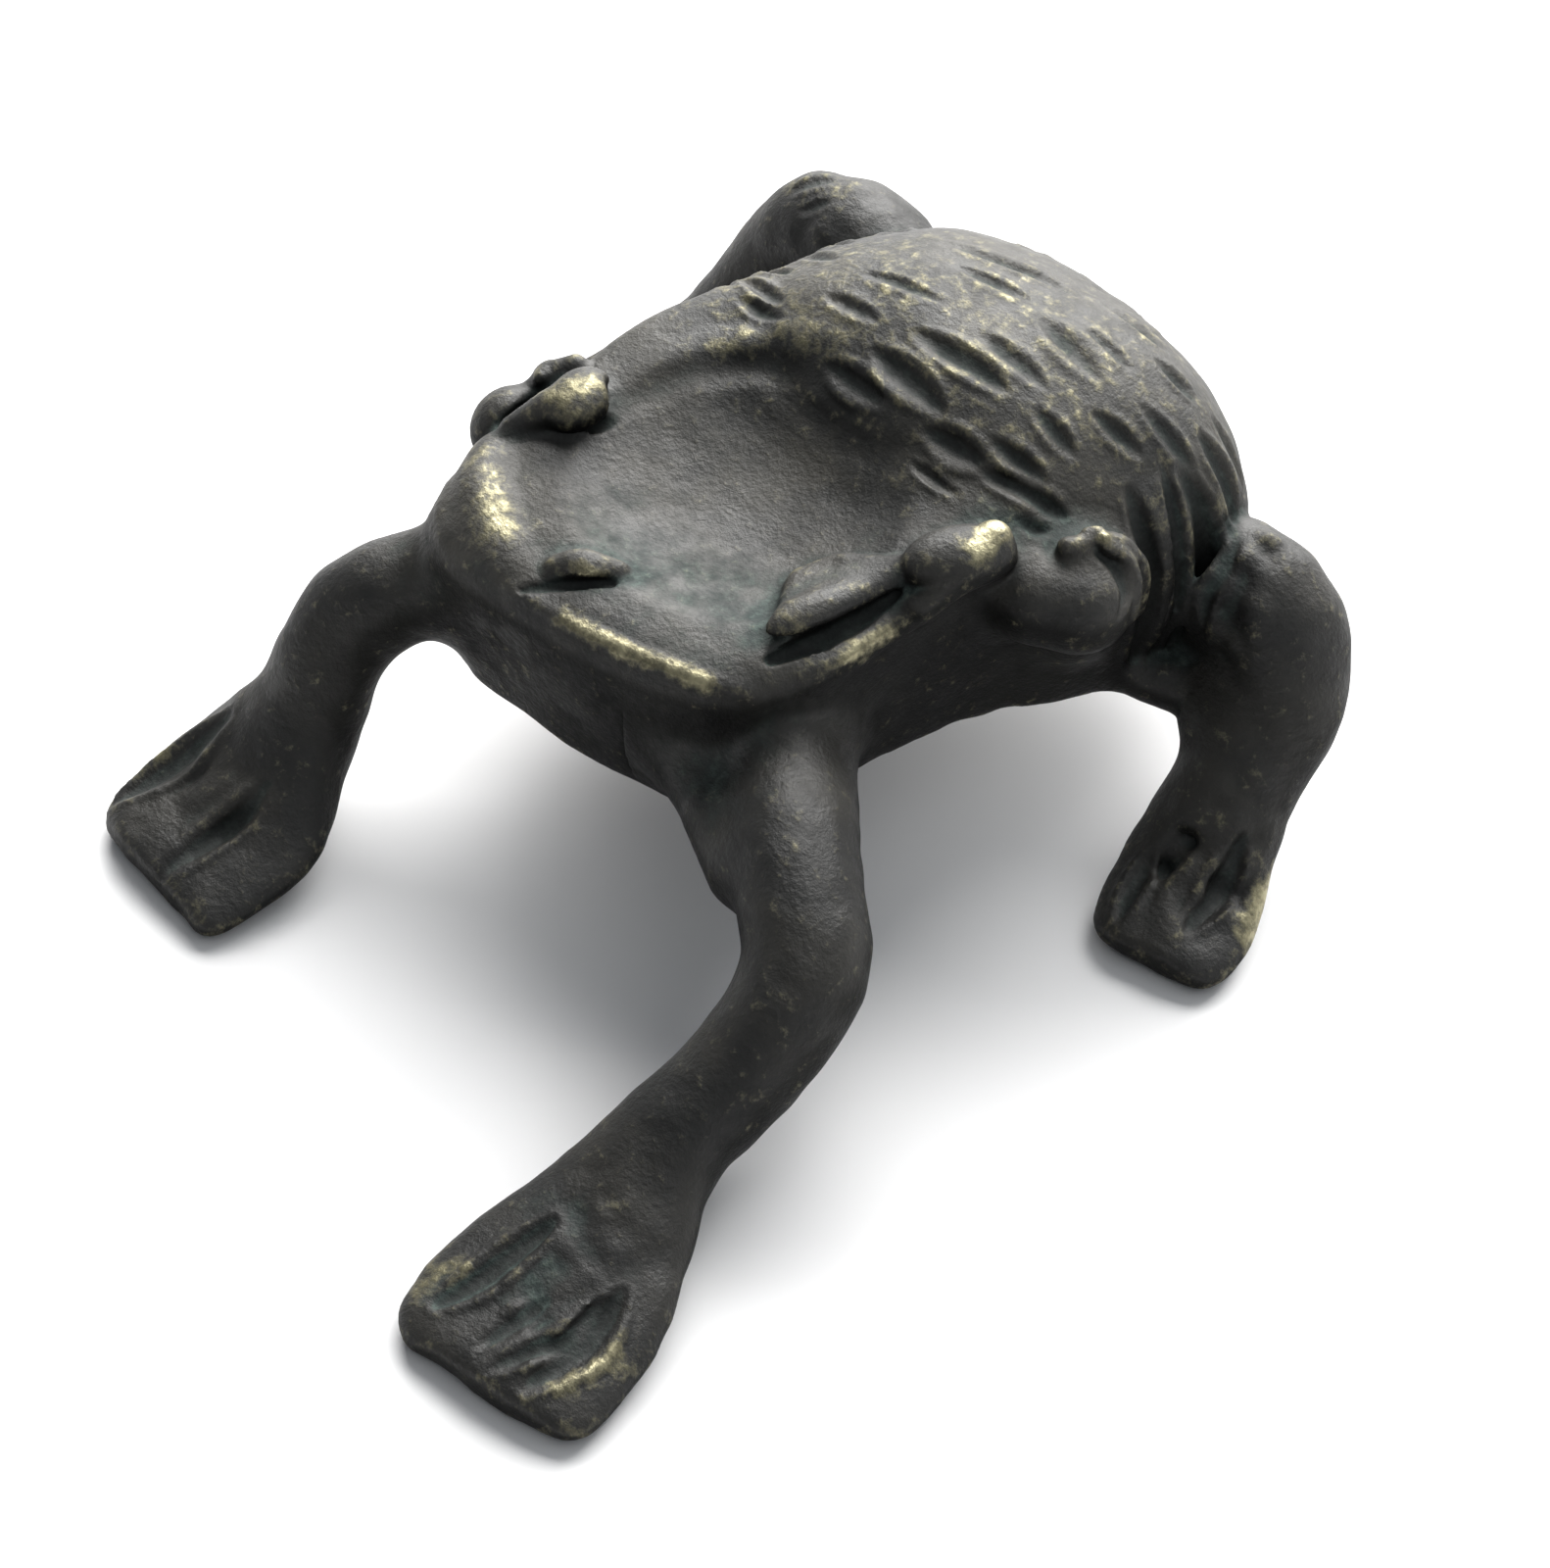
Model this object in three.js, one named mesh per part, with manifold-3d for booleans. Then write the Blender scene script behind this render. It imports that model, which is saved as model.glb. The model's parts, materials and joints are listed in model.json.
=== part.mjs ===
// A small lost-wax cast bronze frog: a thin shell open underneath, with a flat dished head,
// a tall scored back and four legs rolled from rods and pinched flat at the feet.
// Units are millimetres. The frog faces -Y, its left side is +X, and its soles stand on Z = 0.
import * as THREE from 'three';
import { mergeVertices } from 'three/addons/utils/BufferGeometryUtils.js';
import Module from 'manifold-3d';

const wasm = await Module();
wasm.setup();

// ---- driving dimensions ----

const GAP = 0.3;                 // clearance between neighbouring pieces
const WALL = 2.3;                // thickness of the cast shell
const EDGE_HEIGHT = 8.0;         // lower edge of the shell above the ground

const BACK = {
  centre: [-0.6, 20.6],
  waistHeight: 13.5,
  topHeight: 25.4,
  roundness: 2.1,
  footing: 0.95,                 // part of the plan kept at the lower edge
  sides: 40,
  steps: 11,
};

// Plan outline of the back at its waist, anticlockwise from the left flank.
const BACK_OUTLINE = [
  [14.4, 21.5], [14.4, 26.6], [10.2, 31.0], [2.4, 32.8], [-5.6, 32.0], [-12.2, 28.2],
  [-15.8, 21.5], [-15.8, 14.5], [-12.0, 10.6], [-4.0, 10.0], [5.0, 10.6], [11.0, 13.0], [13.6, 17.0],
];

const HEAD = {
  centre: [-3.4, 5.5],
  rimHeight: 18.8,
  snout: -6.0,                   // where the rim has its lowest height
  slope: 0.13,                   // rise of the rim per millimetre towards the neck
  rimRound: 1.8,
  rimSteps: 4,
  reach: 11.5,                   // typical distance from the middle to the rim
  chinRecess: 0.07,
  sides: 44,
};

// Plan outline of the head at its rim, anticlockwise from the back of the neck.
const HEAD_OUTLINE = [
  [-1.0, 20.0], [-12.8, 18.5], [-16.0, 12.0], [-16.2, 4.0], [-15.4, -3.4], [-12.0, -7.4],
  [-5.0, -7.2], [1.5, -5.9], [6.4, -3.8], [8.7, 0.5], [9.2, 6.0], [10.3, 11.5], [9.5, 17.0],
];

// The dished top of the head is the mark of a large ellipsoid, `depth` deep.
const DISH = { depth: 1.2, centre: [-3.0, 4.8, 27.3], radii: [15.6, 14.0, 9.0], turn: 0.15, tilt: 0.12 };

const LEG_SIDES = 18;
const LEG_STEPS = 26;
const ROD = 3.3;                 // radius of a leg rod

const TOE_GROOVE = { height: 4.0, halfWidth: 0.55, depth: 1.5 };

const CORE_BOTTOM = 2.0;         // the casting core runs out below the lower edge
const GROUND = { reach: 60, depth: 20 };

// Pellets pressed onto the head: middle, radii and turn about Z.
const PELLETS = {
  left_eye: { at: [13.6, 15.2, 17.6], radii: [2.5, 2.7, 2.6], turn: 0 },
  right_eye: { at: [-16.7, 1.8, 17.0], radii: [2.3, 2.5, 2.4], turn: 0 },
  left_brow: { at: [9.3, 10.2, 21.4], radii: [1.9, 3.2, 1.6], turn: -0.5 },
  right_brow: { at: [-13.0, 3.6, 20.6], radii: [1.8, 2.4, 1.5], turn: 0.3 },
  left_nostril: { at: [6.4, 3.0, 20.0], radii: [1.3, 3.3, 1.3], turn: -0.25 },
  right_nostril: { at: [-4.6, -3.4, 19.0], radii: [1.9, 1.1, 1.2], turn: 0.3 },
};

// A lid is a thin coil laid half round an eye, on the side away from the snout.
const LID = { radius: 0.6, sides: 8, steps: 14 };
const EYELIDS = {
  left_eyelid: [[12.0, 14.8, 21.0], [13.2, 17.7, 20.4], [14.1, 18.9, 18.0], [14.5, 18.2, 15.4]],
  right_eyelid: [[-16.2, 3.4, 19.8], [-17.5, 5.3, 18.6], [-18.0, 5.5, 16.6], [-17.8, 4.6, 14.8]],
};

const BRONZE = new THREE.Color(0x4b463e);
const WORN_BRONZE = new THREE.Color(0x7d775c);
const DARK_BRONZE = new THREE.Color(0x34312d);

// ---- solids ----

function solidOf(geometry) {
  const bare = geometry.index ? geometry.clone() : geometry;
  bare.deleteAttribute('normal');
  bare.deleteAttribute('uv');
  const merged = mergeVertices(bare, 1e-4);
  const mesh = new wasm.Mesh({
    numProp: 3,
    vertProperties: new Float32Array(merged.attributes.position.array),
    triVerts: new Uint32Array(merged.index.array),
  });
  const solid = new wasm.Manifold(mesh);
  if (solid.volume() <= 0) throw new Error('faces point inwards');
  return solid;
}

function meshOf(name, solid, colour, roughness) {
  const { vertProperties, triVerts } = solid.getMesh();
  const geometry = new THREE.BufferGeometry();
  geometry.setAttribute('position', new THREE.BufferAttribute(vertProperties, 3));
  geometry.setIndex(new THREE.BufferAttribute(triVerts, 1));
  geometry.computeVertexNormals();
  const material = new THREE.MeshStandardMaterial({ color: colour, roughness, metalness: 0.9 });
  const mesh = new THREE.Mesh(geometry, material);
  mesh.name = name;
  return mesh;
}

function ellipsoid(centre, radii, { turn = 0, tilt = 0, sides = 16, rings = 10 } = {}) {
  const geometry = new THREE.SphereGeometry(1, sides, rings);
  geometry.rotateX(Math.PI / 2);
  geometry.scale(...radii);
  geometry.rotateX(tilt);
  geometry.rotateZ(turn);
  geometry.translate(...centre);
  return solidOf(geometry);
}

function box(low, high) {
  const size = high.map((value, axis) => value - low[axis]);
  const geometry = new THREE.BoxGeometry(...size);
  geometry.translate(...low.map((value, axis) => value + size[axis] / 2));
  return solidOf(geometry);
}

// A turned form whose round plan is stretched to another closed outline around `centre`.
// The profile gives the part of the outline's reach (x) at each height (y).
function turned(profile, outline, centre) {
  const geometry = new THREE.LatheGeometry(profile, outline.length);
  const position = geometry.attributes.position;
  for (let i = 0; i < position.count; i += 1) {
    const [x, y] = outline[Math.floor(i / profile.length) % outline.length];
    const point = profile[i % profile.length];
    const reachX = (x - centre[0]) * point.x;
    const reachY = (y - centre[1]) * point.x;
    position.setXYZ(i, centre[0] + reachX, centre[1] + reachY, point.y);
  }
  return geometry;
}

// A closed curve through the corners, cut into equal steps.
function smoothOutline(corners, count) {
  const points = corners.map(([x, y]) => new THREE.Vector3(x, y, 0));
  const curve = new THREE.CatmullRomCurve3(points, true, 'centripetal');
  return curve.getSpacedPoints(count).slice(0, -1).map((p) => [p.x, p.y]);
}

// Moves each corner of a closed outline away from its middle by `grow`.
function offsetOutline(outline, centre, grow) {
  return outline.map(([x, y]) => {
    const away = new THREE.Vector2(x - centre[0], y - centre[1]);
    away.setLength(away.length() + grow);
    return [centre[0] + away.x, centre[1] + away.y];
  });
}

// ---- back shell ----

// The back is a dome whose sides are nearly upright below the waist; `grow` offsets it outwards.
function backDome(grow, bottom) {
  const profile = [new THREE.Vector2(0, bottom), new THREE.Vector2(BACK.footing, bottom)];
  const rise = BACK.topHeight + grow - BACK.waistHeight;
  for (let i = 0; i < BACK.steps; i += 1) {
    const angle = (i / BACK.steps) * (Math.PI / 2);
    const radius = Math.cos(angle) ** (2 / BACK.roundness);
    const height = BACK.waistHeight + rise * Math.sin(angle) ** (2 / BACK.roundness);
    profile.push(new THREE.Vector2(radius, height));
  }
  profile.push(new THREE.Vector2(0, BACK.topHeight + grow));
  const outline = smoothOutline(BACK_OUTLINE, BACK.sides);
  return solidOf(turned(profile, offsetOutline(outline, BACK.centre, grow), BACK.centre));
}

// ---- head ----

// `grow` offsets the head outwards and `drop` lowers its roof.
function headBlock(grow, bottom, drop = 0) {
  const outline = smoothOutline(HEAD_OUTLINE, HEAD.sides);
  const top = HEAD.rimHeight + grow - drop;
  const round = HEAD.rimRound / HEAD.reach;
  const profile = [
    new THREE.Vector2(0, bottom),
    new THREE.Vector2(1 - HEAD.chinRecess, bottom),
  ];
  for (let i = 0; i <= HEAD.rimSteps; i += 1) {
    const angle = (i / HEAD.rimSteps) * (Math.PI / 2);
    const radius = 1 - round * (1 - Math.cos(angle));
    profile.push(new THREE.Vector2(radius, top - HEAD.rimRound * (1 - Math.sin(angle))));
  }
  profile.push(new THREE.Vector2(0, top));
  const geometry = turned(profile, offsetOutline(outline, HEAD.centre, grow), HEAD.centre);
  const position = geometry.attributes.position;
  for (let i = 0; i < position.count; i += 1) {
    const level = Math.max(0, (position.getZ(i) - EDGE_HEIGHT) / (HEAD.rimHeight - EDGE_HEIGHT));
    const rise = HEAD.slope * (position.getY(i) - HEAD.snout) * level;
    position.setZ(i, position.getZ(i) + rise);
  }
  return solidOf(geometry);
}

// ---- legs ----

// Each row of a route is a place on the leg's centre line with the half width and half height there,
// from the hidden root inside the shell to the edge of the toes.
function rod(route, side) {
  const path = new THREE.CatmullRomCurve3(route.map(([x, y, z]) => new THREE.Vector3(x, y, z)));
  const sizes = new THREE.CatmullRomCurve3(route.map((row) => new THREE.Vector3(row[3], row[4], 0)));
  const rings = [];
  const across = new THREE.Vector3(...side);
  for (let i = LEG_STEPS; i >= 0; i -= 1) {
    const t = i / LEG_STEPS;
    const tangent = path.getTangent(t);
    across.addScaledVector(tangent, -across.dot(tangent)).normalize();
    const upward = new THREE.Vector3().crossVectors(across, tangent);
    rings[i] = { centre: path.getPoint(t), size: sizes.getPoint(t), across: across.clone(), upward };
  }
  const geometry = new THREE.CylinderGeometry(1, 1, 1, LEG_SIDES, LEG_STEPS);
  const position = geometry.attributes.position;
  for (let i = 0; i < position.count; i += 1) {
    const ring = rings[Math.round((position.getY(i) + 0.5) * LEG_STEPS)];
    const place = ring.centre.clone();
    place.addScaledVector(ring.across, position.getX(i) * ring.size.x);
    place.addScaledVector(ring.upward, position.getZ(i) * ring.size.y);
    position.setXYZ(i, place.x, place.y, place.z);
  }
  return solidOf(geometry);
}

const LEGS = {
  left_foreleg: {
    side: [1, 0.25, 0],
    route: [
      [5.5, 1.6, 11.5, ROD, ROD],
      [9.2, -1.6, 12.2, 3.5, 3.5],
      [13.4, -4.8, 12.3, 3.5, 3.5],
      [17.2, -7.6, 10.2, 3.4, 3.4],
      [18.0, -11.8, 7.2, 3.3, 3.3],
      [17.6, -16.6, 4.6, 3.2, 3.0],
      [18.4, -21.5, 2.7, 4.7, 2.4],
      [19.6, -26.8, 1.4, 6.5, 1.9],
      [20.7, -31.2, 1.0, 6.4, 1.6],
      [21.0, -32.6, 0.9, 5.2, 1.2],
    ],
    grooves: [[16.4, -25.8, 14.6, -30.8], [18.9, -27.8, 18.4, -32.0], [22.0, -24.8, 23.6, -30.0]],
  },
  right_foreleg: {
    side: [1, -0.15, 0],
    route: [
      [-7.0, 0.5, 13.0, ROD, ROD],
      [-10.8, -3.2, 13.0, 3.2, 3.2],
      [-14.8, -7.2, 12.6, 3.1, 3.1],
      [-16.6, -10.6, 10.0, 3.0, 3.0],
      [-16.6, -13.2, 6.4, 3.1, 3.0],
      [-16.6, -16.4, 3.3, 5.0, 2.6],
      [-16.2, -20.2, 1.6, 6.2, 2.0],
      [-16.1, -23.8, 1.0, 5.9, 1.6],
      [-16.2, -25.2, 0.9, 4.8, 1.2],
    ],
    grooves: [[-17.6, -17.4, -19.6, -22.6], [-13.8, -18.4, -14.8, -23.8]],
  },
  left_hind_leg: {
    side: [1, 0.35, 0],
    route: [
      [9.0, 23.4, 12.6, ROD, ROD],
      [13.6, 25.0, 13.2, 3.4, 3.4],
      [17.5, 25.8, 12.4, 3.6, 3.6],
      [19.9, 24.6, 9.0, 3.5, 3.5],
      [20.6, 21.4, 5.8, 3.5, 3.3],
      [21.6, 17.6, 2.8, 4.1, 2.6],
      [22.8, 14.6, 1.5, 4.7, 2.0],
      [23.7, 12.0, 1.0, 4.5, 1.6],
      [24.1, 10.8, 0.9, 3.6, 1.2],
    ],
    grooves: [[21.2, 17.4, 21.2, 13.0], [24.4, 17.6, 25.4, 14.0]],
  },
  right_hind_leg: {
    side: [1, -0.2, 0],
    route: [
      [-8.0, 25.6, 12.0, ROD, ROD],
      [-13.0, 27.8, 12.4, 3.5, 3.5],
      [-18.9, 28.4, 12.2, 4.1, 4.0],
      [-22.3, 26.2, 9.0, 3.4, 3.4],
      [-23.6, 22.8, 5.6, 3.1, 2.9],
      [-25.0, 19.6, 2.9, 4.1, 2.5],
      [-25.8, 16.4, 1.5, 4.7, 1.9],
      [-26.2, 13.8, 1.0, 4.5, 1.6],
      [-26.4, 12.6, 0.9, 3.6, 1.2],
    ],
    grooves: [[-27.2, 18.6, -28.4, 14.6], [-23.8, 18.4, -23.8, 14.4]],
  },
};

// A shallow groove between two toes, as a thin lens sunk into the top of the foot.
function toeGroove([startX, startY, endX, endY]) {
  const run = Math.hypot(endX - startX, endY - startY);
  const turn = Math.atan2(endY - startY, endX - startX);
  const middle = [(startX + endX) / 2, (startY + endY) / 2, TOE_GROOVE.height];
  return ellipsoid(middle, [run / 2, TOE_GROOVE.halfWidth, TOE_GROOVE.depth], { turn });
}

// ---- eyelids ----

function coil(route) {
  const section = new THREE.Shape();
  for (let i = 0; i < LID.sides; i += 1) {
    const angle = (i / LID.sides) * 2 * Math.PI;
    const corner = [LID.radius * Math.cos(angle), LID.radius * Math.sin(angle)];
    if (i === 0) section.moveTo(...corner);
    else section.lineTo(...corner);
  }
  section.closePath();
  const path = new THREE.CatmullRomCurve3(route.map((place) => new THREE.Vector3(...place)));
  return solidOf(new THREE.ExtrudeGeometry(section, { extrudePath: path, steps: LID.steps }));
}

// ---- assembly ----

const outerBack = backDome(0, EDGE_HEIGHT);
const outerHead = headBlock(0, EDGE_HEIGHT);
const core = backDome(-WALL, CORE_BOTTOM).add(headBlock(-WALL, CORE_BOTTOM, DISH.depth));
const dishShape = { turn: DISH.turn, tilt: DISH.tilt, sides: 28, rings: 16 };
const dish = ellipsoid(DISH.centre, DISH.radii, dishShape);
const shallowDish = ellipsoid(DISH.centre, DISH.radii.map((radius) => radius - GAP), dishShape);
const ground = box([-GROUND.reach, -GROUND.reach, -GROUND.depth], [GROUND.reach, GROUND.reach, 0]);

const group = new THREE.Group();
const clearBack = backDome(GAP, EDGE_HEIGHT - GAP);
const clearHead = headBlock(GAP, EDGE_HEIGHT - GAP);
const clearSkin = clearHead.subtract(shallowDish);
group.add(meshOf('torso_shell', outerBack.subtract(core), BRONZE, 0.55));
group.add(meshOf('head', outerHead.subtract(dish).subtract(core).subtract(clearBack), BRONZE, 0.55));

for (const [name, pellet] of Object.entries(PELLETS)) {
  const solid = ellipsoid(pellet.at, pellet.radii, { turn: pellet.turn });
  group.add(meshOf(name, solid.subtract(clearSkin).subtract(clearBack), WORN_BRONZE, 0.4));
}

for (const [name, route] of Object.entries(EYELIDS)) {
  const solid = coil(route).subtract(clearSkin).subtract(clearBack);
  group.add(meshOf(name, solid, BRONZE, 0.5));
}

for (const [name, leg] of Object.entries(LEGS)) {
  let solid = rod(leg.route, leg.side).subtract(ground).subtract(clearBack).subtract(clearHead);
  for (const groove of leg.grooves) solid = solid.subtract(toeGroove(groove));
  group.add(meshOf(name, solid, DARK_BRONZE, 0.5));
}

// The origin is on the ground, under the middle of the frog.
const bounds = new THREE.Box3().setFromObject(group);
const middle = bounds.getCenter(new THREE.Vector3());
group.position.set(-middle.x, -middle.y, 0);

export default group;
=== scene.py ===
"""A small lost-wax cast bronze frog, on white paper in soft light from behind.

Every piece of the visual model is cut from one sculpted distance field. The solids of the frame give the
forms; the forms are softened and melted into each other, the eyes, nostrils, back and feet are tooled, and
each piece takes its own share of the result. Lengths are in millimetres while sculpting, metres in the scene.
"""
import json
import math

import bpy
import numpy as np
import openvdb
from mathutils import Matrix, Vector


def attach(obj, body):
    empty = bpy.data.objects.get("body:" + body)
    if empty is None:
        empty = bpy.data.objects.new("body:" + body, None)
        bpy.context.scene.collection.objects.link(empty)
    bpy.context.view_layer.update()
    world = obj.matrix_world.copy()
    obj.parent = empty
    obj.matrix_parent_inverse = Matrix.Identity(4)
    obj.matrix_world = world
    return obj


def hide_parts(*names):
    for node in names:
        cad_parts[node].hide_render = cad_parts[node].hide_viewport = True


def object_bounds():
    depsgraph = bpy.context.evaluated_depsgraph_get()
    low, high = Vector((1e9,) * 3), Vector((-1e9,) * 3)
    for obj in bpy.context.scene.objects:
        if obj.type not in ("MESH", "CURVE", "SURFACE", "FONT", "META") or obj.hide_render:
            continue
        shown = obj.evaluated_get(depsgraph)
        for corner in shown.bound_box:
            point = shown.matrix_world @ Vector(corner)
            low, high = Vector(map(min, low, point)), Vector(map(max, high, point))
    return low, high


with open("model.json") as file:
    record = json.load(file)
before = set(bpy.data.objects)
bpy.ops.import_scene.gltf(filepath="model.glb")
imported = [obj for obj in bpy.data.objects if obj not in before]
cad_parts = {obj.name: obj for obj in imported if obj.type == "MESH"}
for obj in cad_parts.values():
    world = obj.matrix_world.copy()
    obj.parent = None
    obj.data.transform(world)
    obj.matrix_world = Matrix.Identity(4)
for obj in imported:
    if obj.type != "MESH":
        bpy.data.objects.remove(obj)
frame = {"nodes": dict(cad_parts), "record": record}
CAD_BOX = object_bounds()

MM = 0.001

# ---- working grid ----

VOXEL = 0.20
BAND = 3.0                      # reach of the distance fields
MARGIN = 2.6                    # room kept around the frog
FORM_MARGIN = 5.0               # room kept around each form, for the wax added to it
LOW = np.floor((np.array(CAD_BOX[0]) / MM - MARGIN) / VOXEL).astype(int)
HIGH = np.ceil((np.array(CAD_BOX[1]) / MM + MARGIN) / VOXEL).astype(int)
RANDOM = np.random.default_rng(7)
BROAD_SEED, MIDDLING_SEED, FINE_SEED, CRUST_SEED = 11, 12, 13, 14
CRUST_GRAIN = 0.75


class Form:
    """A signed distance field over a window of the grid, negative inside."""

    def __init__(self, start, field):
        self.start = np.array(start)
        self.field = field

    def cut_in(self, whole):
        """The slices of a larger form that this one's window covers."""
        return tuple(slice(a, a + n) for a, n in zip(self.start - whole.start, self.field.shape))

    def axes(self):
        """The coordinates of the window's voxels along each axis."""
        counts = self.field.shape
        return [(start + np.arange(n, dtype=np.float32)) * VOXEL for start, n in zip(self.start, counts)]

    def copy(self):
        return Form(self.start, self.field.copy())


def empty():
    """A form with nothing in it, over the whole grid."""
    return Form(LOW, np.full(tuple(HIGH - LOW), BAND, dtype=np.float32))


def node_form(name):
    """The distance to a CAD node, over a window around it."""
    mesh = frame["nodes"][name].data
    mesh.calc_loop_triangles()
    points = np.empty(len(mesh.vertices) * 3, dtype=np.float32)
    mesh.vertices.foreach_get("co", points)
    points = points.reshape(-1, 3) / MM
    triangles = np.empty(len(mesh.loop_triangles) * 3, dtype=np.int32)
    mesh.loop_triangles.foreach_get("vertices", triangles)
    grid = openvdb.FloatGrid.createLevelSetFromPolygons(
        points,
        triangles=triangles.reshape(-1, 3).astype(np.uint32),
        transform=openvdb.createLinearTransform(VOXEL),
        halfWidth=BAND / VOXEL,
    )
    start = np.maximum(np.floor((points.min(axis=0) - FORM_MARGIN) / VOXEL).astype(int), LOW)
    stop = np.minimum(np.ceil((points.max(axis=0) + FORM_MARGIN) / VOXEL).astype(int), HIGH)
    field = np.full(tuple(stop - start), BAND, dtype=np.float32)
    grid.copyToArray(field, ijk=tuple(int(i) for i in start))
    return Form(start, field)


def soften(form, sigma):
    """A copy blurred by a Gaussian of the given width, which rounds its edges."""
    reach = max(1, int(math.ceil(2.5 * sigma / VOXEL)))
    weights = np.exp(-0.5 * (np.arange(reach + 1) * VOXEL / sigma) ** 2)
    weights /= weights[0] + 2 * weights[1:].sum()
    field = form.field
    for axis in range(3):
        total = field * np.float32(weights[0])
        for step in range(1, reach + 1):
            for side in (step, -step):
                total += np.float32(weights[step]) * np.roll(field, side, axis)
        field = total
    return Form(form.start, field)


def melt(first, second, reach):
    """Joins two fields with a fillet that starts `reach` away from the crease."""
    overlap = np.maximum(reach - np.abs(first - second), 0) / reach
    return np.minimum(first, second) - overlap * overlap * np.float32(reach / 4)


def melt_in(whole, part, reach):
    """Melts a form into a larger one."""
    cut = part.cut_in(whole)
    whole.field[cut] = melt(whole.field[cut], part.field, reach)


def spline_rows(first, count, spacing):
    """Cubic B-spline weights that spread coarse values over a run of fine places."""
    place = (first + np.arange(count)) * VOXEL / spacing
    base = np.floor(place).astype(int)
    f = place - base
    low = base.min() - 1
    rows = np.zeros((count, base.max() - low + 3), dtype=np.float32)
    weights = ((1 - f) ** 3, 3 * f ** 3 - 6 * f * f + 4, -3 * f ** 3 + 3 * f * f + 3 * f + 1, f ** 3)
    for j, weight in enumerate(weights):
        rows[np.arange(count), base - 1 - low + j] = weight / 6
    return low, rows


def lumps(form, spacing, seed):
    """Smooth random unevenness of unit size over a form's window, the same wherever windows meet."""
    size = int(90 / spacing) + 8
    values = np.random.default_rng(seed).standard_normal((size,) * 3).astype(np.float32)
    for axis in range(3):
        low, rows = spline_rows(form.start[axis], form.field.shape[axis], spacing)
        low += size // 2
        part = np.take(values, np.arange(low, low + rows.shape[1]), axis=axis)
        values = np.moveaxis(np.tensordot(rows, part, axes=(1, axis)), 0, axis)
    return values * np.float32(3.3)


def value_at(form, points):
    """A form's values at points, by trilinear interpolation."""
    shape = np.array(form.field.shape)
    place = np.clip(np.asarray(points) / VOXEL - form.start, 0, shape - 1.001)
    base = place.astype(int)
    f = place - base
    total = np.zeros(len(place))
    for corner in range(8):
        step = np.array([corner & 1, corner >> 1 & 1, corner >> 2 & 1])
        weight = np.prod(np.where(step, f, 1 - f), axis=1)
        i, j, k = (base + step).T
        total += weight * form.field[i, j, k]
    return total


def slope_at(form, points):
    """The outward directions of a form at points."""
    offsets = np.eye(3) * VOXEL
    slope = np.stack([value_at(form, points + o) - value_at(form, points - o) for o in offsets], axis=1)
    return slope / (np.linalg.norm(slope, axis=1, keepdims=True) + 1e-9)


def settle(form, points):
    """Moves points onto the surface of a form."""
    points = np.array(points, float)
    for _ in range(5):
        points -= slope_at(form, points) * value_at(form, points)[:, None]
    return points


def land(form, start, direction, reach=40.0):
    """The first point of the surface met from `start` along `direction`, or None."""
    direction = np.asarray(direction, float) / np.linalg.norm(direction)
    steps = np.arange(0, reach, VOXEL / 2)
    points = np.asarray(start, float) + steps[:, None] * direction
    values = value_at(form, points)
    inside = np.nonzero(values < 0)[0]
    if len(inside) == 0 or inside[0] == 0:
        return None
    i = inside[0]
    part = values[i - 1] / (values[i - 1] - values[i])
    return points[i - 1] + part * (points[i] - points[i - 1])


def local_box(form, points, reach):
    """Slices of a form's field around some points, with the coordinates of the voxels in them."""
    shape = np.array(form.field.shape)
    low = np.clip(((np.min(points, axis=0) - reach) / VOXEL - form.start).astype(int), 0, shape)
    high = np.clip(((np.max(points, axis=0) + reach) / VOXEL - form.start).astype(int) + 2, low, shape)
    cut = tuple(slice(a, b) for a, b in zip(low, high))
    axes = [axis[part] for axis, part in zip(form.axes(), cut)]
    return cut, np.meshgrid(*axes, indexing="ij")


def evenly(points, spacing):
    """Points and their share of the way, spread evenly along a smooth path through a few points."""
    points = np.asarray(points, float)
    runs = np.concatenate([[0], np.cumsum(np.linalg.norm(np.diff(points, axis=0), axis=1))])
    count = max(4, int(runs[-1] / spacing) + 1)
    along = np.linspace(0, runs[-1], count)
    path = np.stack([np.interp(along, runs, points[:, i]) for i in range(3)], axis=1)
    for _ in range(3):
        path[1:-1] = (path[:-2] + 2 * path[1:-1] + path[2:]) / 4
    return path, along / runs[-1]


def nearest_on(path, coords):
    """For each voxel, the distance to the nearest bead of a path and that bead's number."""
    best = np.full(coords[0].shape, 1e9, dtype=np.float32)
    bead = np.zeros(coords[0].shape, dtype=np.int32)
    for number, point in enumerate(path):
        distance = sum((c - np.float32(p)) ** 2 for c, p in zip(coords, point))
        closer = distance < best
        best[closer] = distance[closer]
        bead[closer] = number
    return np.sqrt(best), bead


def groove(form, points, width, depth, berm=0.35):
    """Draws a blunt tool over the surface: a lens-shaped gouge with the wax pushed up along its sides."""
    path, along = evenly(points, 0.16)
    path = settle(form, path)
    swell = np.sin(math.pi * (0.03 + 0.94 * along)) ** 0.6
    cut, coords = local_box(form, path, width * 1.4)
    distance, bead = nearest_on(path, coords)
    across = distance / (width / 2 * (0.3 + 0.7 * swell[bead]))
    push = np.where(across < 1, 1 - across * across, 0)
    push -= berm * np.where((across > 1) & (across < 2.4), np.sin(math.pi * (across - 1) / 1.4) ** 2, 0)
    form.field[cut] += (depth * swell[bead] * push).astype(np.float32)


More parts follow.
